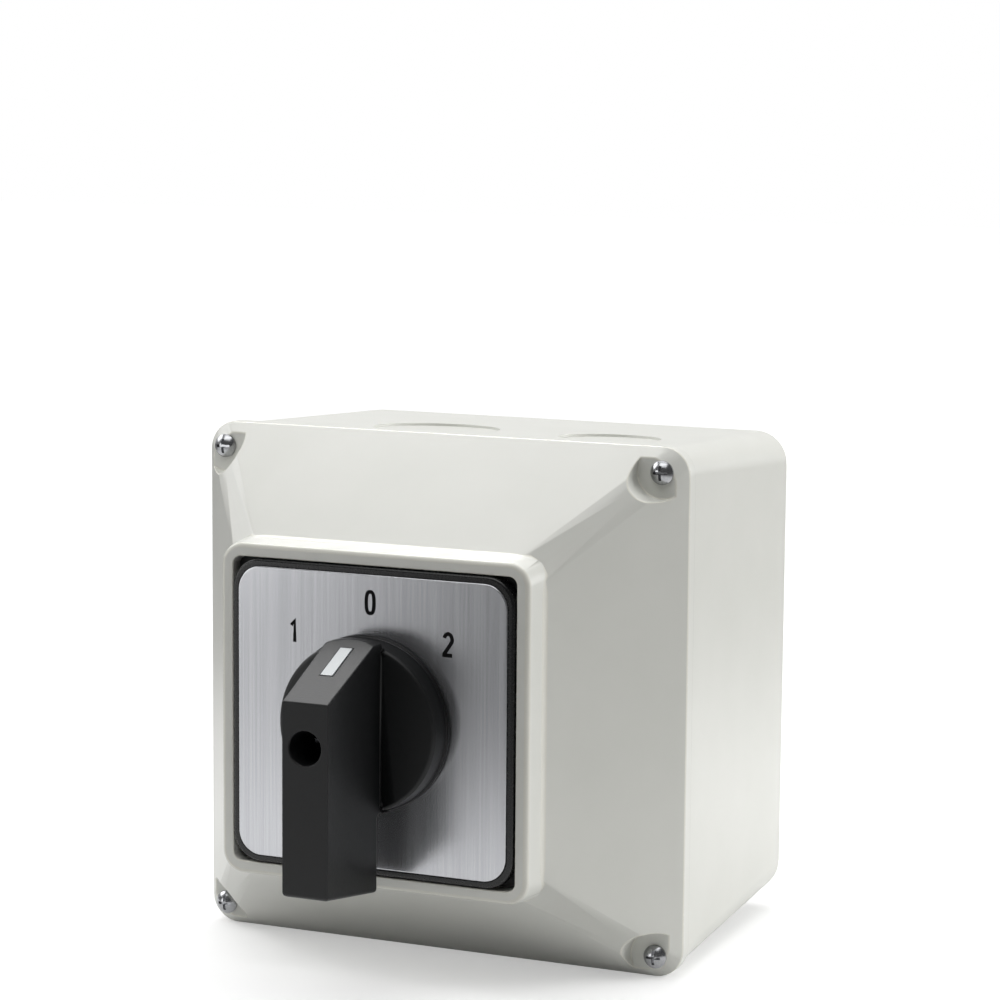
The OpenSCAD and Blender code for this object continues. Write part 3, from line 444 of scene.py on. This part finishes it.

# Springs, whose outer end stays in the housing and inner end goes with the plunger or the bridge, are drawn
# as merged, smooth-shaded copies of their nodes
springLook = {
    "joined": 0.001,         # mm: closer points become one
    "coilEnd": 0.3,          # mm of the coil's length at each end that isn't stretched
}


def stretchingSpring(nodeName):
    # a merged, smooth-shaded copy of the node, which stands in the node's place
    mesh = frame["nodes"][nodeName].data.copy()
    work = mergedWork(mesh, springLook["joined"])
    work.to_mesh(mesh)
    work.free()
    smoothFaces(mesh)
    made = newObject(nodeName + "Stretching", mesh)
    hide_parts(nodeName)
    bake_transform(made)


for joint in frame["joints"]:
    for entry in joint.get("deforming_nodes", []):
        stretchingSpring(entry["node"])
print("stage: springs made")

# Digits of the dial, upright, in black ink
digitLook = {
    "radius": 24.4,          # mm from the shaft's axis to the middle of a digit
    "angles": {"1": -45, "0": 0, "2": 45},
    "height": 5.1,
    "width": 2.5,
    "stroke": 0.78,
    "ink": 0.02,             # mm, thickness of the printed ink
    "dialFace": -99.2,
    "sunk": 0.01,            # mm that the ink's back lies in the plate
    "leastCosine": 0.6,      # keeps the mitre of a tight corner short
    "joined": 0.001,         # mm: closer points become one
    # centre lines of the strokes, in shares of half the digit's width and height
    "oneFlagAndStem": [[-0.6, 0.56], [0.3, 1.0], [0.3, -1.0]],
    "zeroPower": 0.72,       # 1 is an ellipse, less is squarer
    "zeroPoints": 49,
    "twoBow": (165, -25),    # degrees at which the bow begins and ends
    "twoBowPoints": 25,
    "twoBowMiddle": 0.46,    # height of the bow's middle, and half its height
    "twoBowHalf": 0.54,
    "twoFoot": [[-1.0, -0.9], [-1.0, -1.0], [1.05, -1.0]],
}


def digitPath(digit):
    # the 0 is a rounded box, whose x and z are powers of cosine and sine; the 2 is an arc of an
    # ellipse with a straight diagonal and foot
    look = digitLook
    if digit == "0":
        turn = np.linspace(0, 2 * np.pi, look["zeroPoints"])
        onCircle = np.stack([np.cos(turn), np.sin(turn)], axis=1)
        return np.sign(onCircle) * np.abs(onCircle) ** look["zeroPower"]
    if digit == "1":
        return np.array(look["oneFlagAndStem"])
    turn = np.linspace(*np.radians(look["twoBow"]), look["twoBowPoints"])
    height = look["twoBowMiddle"] + look["twoBowHalf"] * np.sin(turn)
    return np.vstack([np.stack([np.cos(turn), height], axis=1), look["twoFoot"]])


def inkStroke(digit):
    # a rectangle of stroke width and ink thickness carried along the centre line, with mitred corners
    look = digitLook
    half = np.array([look["width"], look["height"]]) / 2 - look["stroke"] / 2
    path = digitPath(digit) * half
    closed = np.allclose(path[0], path[-1])
    step = np.diff(path, axis=0)
    step /= np.linalg.norm(step, axis=1, keepdims=True)
    before = np.vstack([step[-1] if closed else step[0], step])
    after = np.vstack([step, step[0] if closed else step[-1]])
    side = np.stack([-(before + after)[:, 1], (before + after)[:, 0]], axis=1)
    side /= np.linalg.norm(side, axis=1, keepdims=True)
    squareOn = np.stack([-before[:, 1], before[:, 0]], axis=1)
    cosine = np.clip((side * squareOn).sum(axis=1), look["leastCosine"], 1)
    reach = side * (look["stroke"] / 2 / cosine)[:, None]
    angle = math.radians(look["angles"][digit])
    centre = look["radius"] * np.array([math.sin(angle), math.cos(angle)])
    back, front = look["dialFace"] + look["sunk"], look["dialFace"] - look["ink"]
    rows = [(reach, back), (-reach, back), (-reach, front), (reach, front)]
    corners = [np.insert(path + centre + shift, 1, y, axis=1) for shift, y in rows]
    points = mm(np.stack(corners, axis=1).reshape(-1, 3))
    around = len(rows)
    start = around * np.arange(len(path) - 1)[:, None]
    first = start + np.arange(around)
    second = start + (np.arange(around) + 1) % around
    walls = np.stack([first, second, second + around, first + around], axis=2).reshape(-1, 4).tolist()
    last = len(points) - around
    caps = [] if closed else [[0, 3, 2, 1], [last, last + 1, last + 2, last + 3]]
    return points, walls + caps


def makeDigits():
    ink = grainedPlastic(inkLook)
    for digit in digitLook["angles"]:
        points, faces = inkStroke(digit)
        mesh = bpy.data.meshes.new("digit" + digit)
        mesh.from_pydata(points, [], faces)
        mesh.materials.append(ink)
        work = mergedWork(mesh, digitLook["joined"])
        bmesh.ops.recalc_face_normals(work, faces=work.faces)
        work.to_mesh(mesh)
        work.free()
        made = newObject("digit" + digit, mesh)
        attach(made, "enclosure")


makeDigits()
print("stage: digits made")

# Camera at the photograph's viewing angle
cameraLook = {
    "place": (285.48, -671.90, 131.37),
    "yaw": 24.187,        # degrees, from the wall's normal towards the right side
    "pitch": 7.668,       # degrees, looking down
    "roll": 0.4526,
    "lens": 116.81,       # mm, focal length on a sensor of the next width
    "sensor": 36,
    "clip": (10, 20000),  # mm, nearest and farthest that it shows
}


def makeCamera():
    yaw, pitch, roll = (math.radians(cameraLook[k]) for k in ("yaw", "pitch", "roll"))
    forward = Vector((-math.sin(yaw) * math.cos(pitch), math.cos(yaw) * math.cos(pitch), -math.sin(pitch)))
    right = Vector((math.cos(yaw), math.sin(yaw), 0))
    up = right.cross(forward)
    rightRolled = math.cos(roll) * right + math.sin(roll) * up
    upRolled = -math.sin(roll) * right + math.cos(roll) * up
    data = bpy.data.cameras.new("camera")
    data.lens = cameraLook["lens"]
    data.sensor_width = cameraLook["sensor"]
    data.clip_start, data.clip_end = (mm(v) for v in cameraLook["clip"])
    camera = newObject("camera", data)
    turn = Matrix((rightRolled, upRolled, -forward)).transposed().to_4x4()
    camera.matrix_world = Matrix.Translation([mm(v) for v in cameraLook["place"]]) @ turn
    bpy.context.scene.camera = camera


makeCamera()
bpy.context.scene.view_settings.view_transform = "Standard"

# Floor: pale paper, darker far from the object; the camera sees it turn white there and it keeps
# the object's shadow near by. Reflections see two lit patches of it: a ring round the object and
# all that lies to the left of a slanted line, which the metal dial mirrors
floorLook = {
    "level": -55.0,          # mm, where the enclosure stands
    "reach": 3000.0,
    "paper": {"Roughness": 0.9, "Specular IOR Level": 0.1},
    "near": "E8E8E8",
    "far": "8A8A8A",
    "glow": (0.4, 1.0),      # added light that only the camera sees, near and far
    "glowFrom": 130.0,       # mm from the axis
    "glowTo": 420.0,
    "ring": (60, 140, 230, 340),   # mm from the axis: begins, full, still full, gone
    "ringGlow": 0.5,
    "lineSlant": -0.52,      # share of y that is added to x
    "line": (34, 70),        # mm: full to the left of the first, gone to the right of the second
    "lineGlow": 0.8,
    "front": (-80, -200),    # mm: the part to the left of the line fades in between these, towards -y
}


def seenDirectly(tree):
    # one for rays from the camera and through glass, and one for reflections
    rays = addNode(tree, "ShaderNodeLightPath")
    direct = addNode(tree, "ShaderNodeMath", {"operation": "MAXIMUM"},
                     {0: rays.outputs["Is Camera Ray"], 1: rays.outputs["Is Transmission Ray"]})
    return direct.outputs["Value"], rays.outputs["Is Glossy Ray"]


def makeFloor():
    look = floorLook
    mesh = bpy.data.meshes.new("floor")
    reach, level = mm(look["reach"]), mm(look["level"])
    signs = [(-1, -1), (1, -1), (1, 1), (-1, 1)]
    mesh.from_pydata([(x * reach, y * reach, level) for x, y in signs], [], [range(len(signs))])
    floor = newObject("floor", mesh)
    material, tree, shader, place = newMaterial("palePaper", look["paper"])
    away = addNode(tree, "ShaderNodeVectorMath", {"operation": "LENGTH"}, {0: place}).outputs["Value"]
    outward = addNode(tree, "ShaderNodeMapRange",
                      {"From Min": mm(look["glowFrom"]), "From Max": mm(look["glowTo"])},
                      {"Value": away}).outputs["Result"]
    shades = {"data_type": "RGBA", 6: linearColour(look["near"]), 7: linearColour(look["far"])}
    shade = addNode(tree, "ShaderNodeMix", shades, {0: outward})
    tree.links.new(shade.outputs[2], shader.inputs["Base Color"])
    direct, glossy = seenDirectly(tree)
    nearGlow, farGlow = look["glow"]
    glow = addNode(tree, "ShaderNodeMapRange", {"To Min": nearGlow, "To Max": farGlow},
                   {"Value": outward})
    toCamera = addNode(tree, "ShaderNodeMath", {"operation": "MULTIPLY"},
                       {0: glow.outputs["Result"], 1: direct})
    begins, full, stillFull, gone = (mm(v) for v in look["ring"])
    rises = addNode(tree, "ShaderNodeMapRange", {"From Min": begins, "From Max": full}, {"Value": away})
    ring = addNode(tree, "ShaderNodeMapRange",
                   {"From Min": gone, "From Max": stillFull, "To Max": look["ringGlow"]}, {"Value": away})
    apart = addNode(tree, "ShaderNodeSeparateXYZ", links={0: place})
    slanted = addNode(tree, "ShaderNodeMath", {"operation": "MULTIPLY_ADD", 1: look["lineSlant"]},
                      {0: apart.outputs["Y"], 2: apart.outputs["X"]})
    lineFull, lineGone = (mm(v) for v in look["line"])
    left = addNode(tree, "ShaderNodeMapRange",
                   {"From Min": lineGone, "From Max": lineFull, "To Max": look["lineGlow"]},
                   {"Value": slanted.outputs["Value"]})
    frontBegins, frontFull = (mm(v) for v in look["front"])
    inFront = addNode(tree, "ShaderNodeMapRange", {"From Min": frontBegins, "From Max": frontFull},
                      {"Value": apart.outputs["Y"]})
    leftFront = addNode(tree, "ShaderNodeMath", {"operation": "MULTIPLY"},
                        {0: left.outputs["Result"], 1: inFront.outputs["Result"]})
    lit = addNode(tree, "ShaderNodeMath", {"operation": "MAXIMUM"},
                  {0: ring.outputs["Result"], 1: leftFront.outputs["Value"]})
    mirrored = addNode(tree, "ShaderNodeMath", {"operation": "MULTIPLY"},
                       {0: lit.outputs["Value"], 1: rises.outputs["Result"]})
    strength = addNode(tree, "ShaderNodeMath", {"operation": "MULTIPLY_ADD"},
                       {0: mirrored.outputs["Value"], 1: glossy, 2: toCamera.outputs["Value"]})
    shader.inputs["Emission Color"].default_value = white
    tree.links.new(strength.outputs["Value"], shader.inputs["Emission Strength"])
    mesh.materials.append(material)


makeFloor()

# Lamps: power in watts; seenBy tells whether its light counts for everything, for matt surfaces
# alone or for mirror images alone. All aim at the middle of the enclosure
lampLook = {
    "windowLamp": {"place": (-900, -100, 600), "size": (600, 600), "power": 4.0, "seenBy": "all"},
    "rightLamp": {"place": (800, 250, 250), "size": (500, 700), "power": 4.3, "seenBy": "matt"},
    "rearRightLamp": {"place": (700, 700, 80), "size": (500, 400), "power": 2.1, "seenBy": "all"},
    "topLamp": {"place": (-100, -100, 900), "size": (1100, 700), "power": 3.0, "seenBy": "all"},
    "frontTopLamp": {"place": (0, -500, 800), "size": (900, 500), "power": 2.2, "seenBy": "all"},
    "rearTopLamp": {"place": (0, 500, 800), "size": (900, 500), "power": 3.5, "seenBy": "all"},
    "leftCardLamp": {"place": (-500, -640, 0), "size": (400, 500), "power": 0.3, "seenBy": "all"},
    "leftReflector": {"place": (-520, -660, 90), "size": (400, 300), "power": 0.9, "seenBy": "gloss"},
    "knobReflector": {"place": (-420, 335, 790), "size": (400, 400), "power": 2.8, "seenBy": "gloss"},
}
lampAim = (0, -60, 0)


def areaLamp(name, look):
    data = bpy.data.lights.new(name, "AREA")
    data.shape = "RECTANGLE"
    data.size, data.size_y = (mm(v) for v in look["size"])
    data.energy = look["power"]
    lamp = newObject(name, data)
    start, end = (Vector([mm(v) for v in point]) for point in (look["place"], lampAim))
    turn = (end - start).to_track_quat("-Z", "Y").to_matrix().to_4x4()
    lamp.matrix_world = Matrix.Translation(start) @ turn
    lamp.visible_diffuse = look["seenBy"] != "gloss"
    lamp.visible_glossy = look["seenBy"] != "matt"


for name, look in lampLook.items():
    areaLamp(name, look)

# World: the camera sees white; reflections see a bright wall behind the object and a dim room in
# front of it; matt surfaces get a weak even light
worldLook = {
    "light": 0.04,
    "room": 0.12,
    "wall": 0.65,
    "turnsFrom": -0.2,       # share of a direction that points along y, where the room ends
    "turnsTo": 0.35,         # and where the wall is full
}


def makeWorld():
    world = bpy.data.worlds.new("studio")
    bpy.context.scene.world = world
    world.use_nodes = True
    tree = world.node_tree
    background = tree.nodes["Background"]
    background.inputs["Color"].default_value = white
    direct, glossy = seenDirectly(tree)
    heading = addNode(tree, "ShaderNodeTexCoord").outputs["Generated"]
    depth = addNode(tree, "ShaderNodeSeparateXYZ", links={0: heading}).outputs["Y"]
    mirrored = addNode(tree, "ShaderNodeMapRange",
                       {"From Min": worldLook["turnsFrom"], "From Max": worldLook["turnsTo"],
                        "To Min": worldLook["room"], "To Max": worldLook["wall"]}, {"Value": depth})
    reflected = addNode(tree, "ShaderNodeMath", {"operation": "MULTIPLY"},
                        {0: mirrored.outputs["Result"], 1: glossy})
    shown = addNode(tree, "ShaderNodeMath", {"operation": "MAXIMUM"},
                    {0: direct, 1: reflected.outputs["Value"]})
    strength = addNode(tree, "ShaderNodeMath", {"operation": "MAXIMUM", 1: worldLook["light"]},
                       {0: shown.outputs["Value"]})
    tree.links.new(strength.outputs["Value"], background.inputs["Strength"])


makeWorld()
print("stage: camera, floor, lamps and world made")
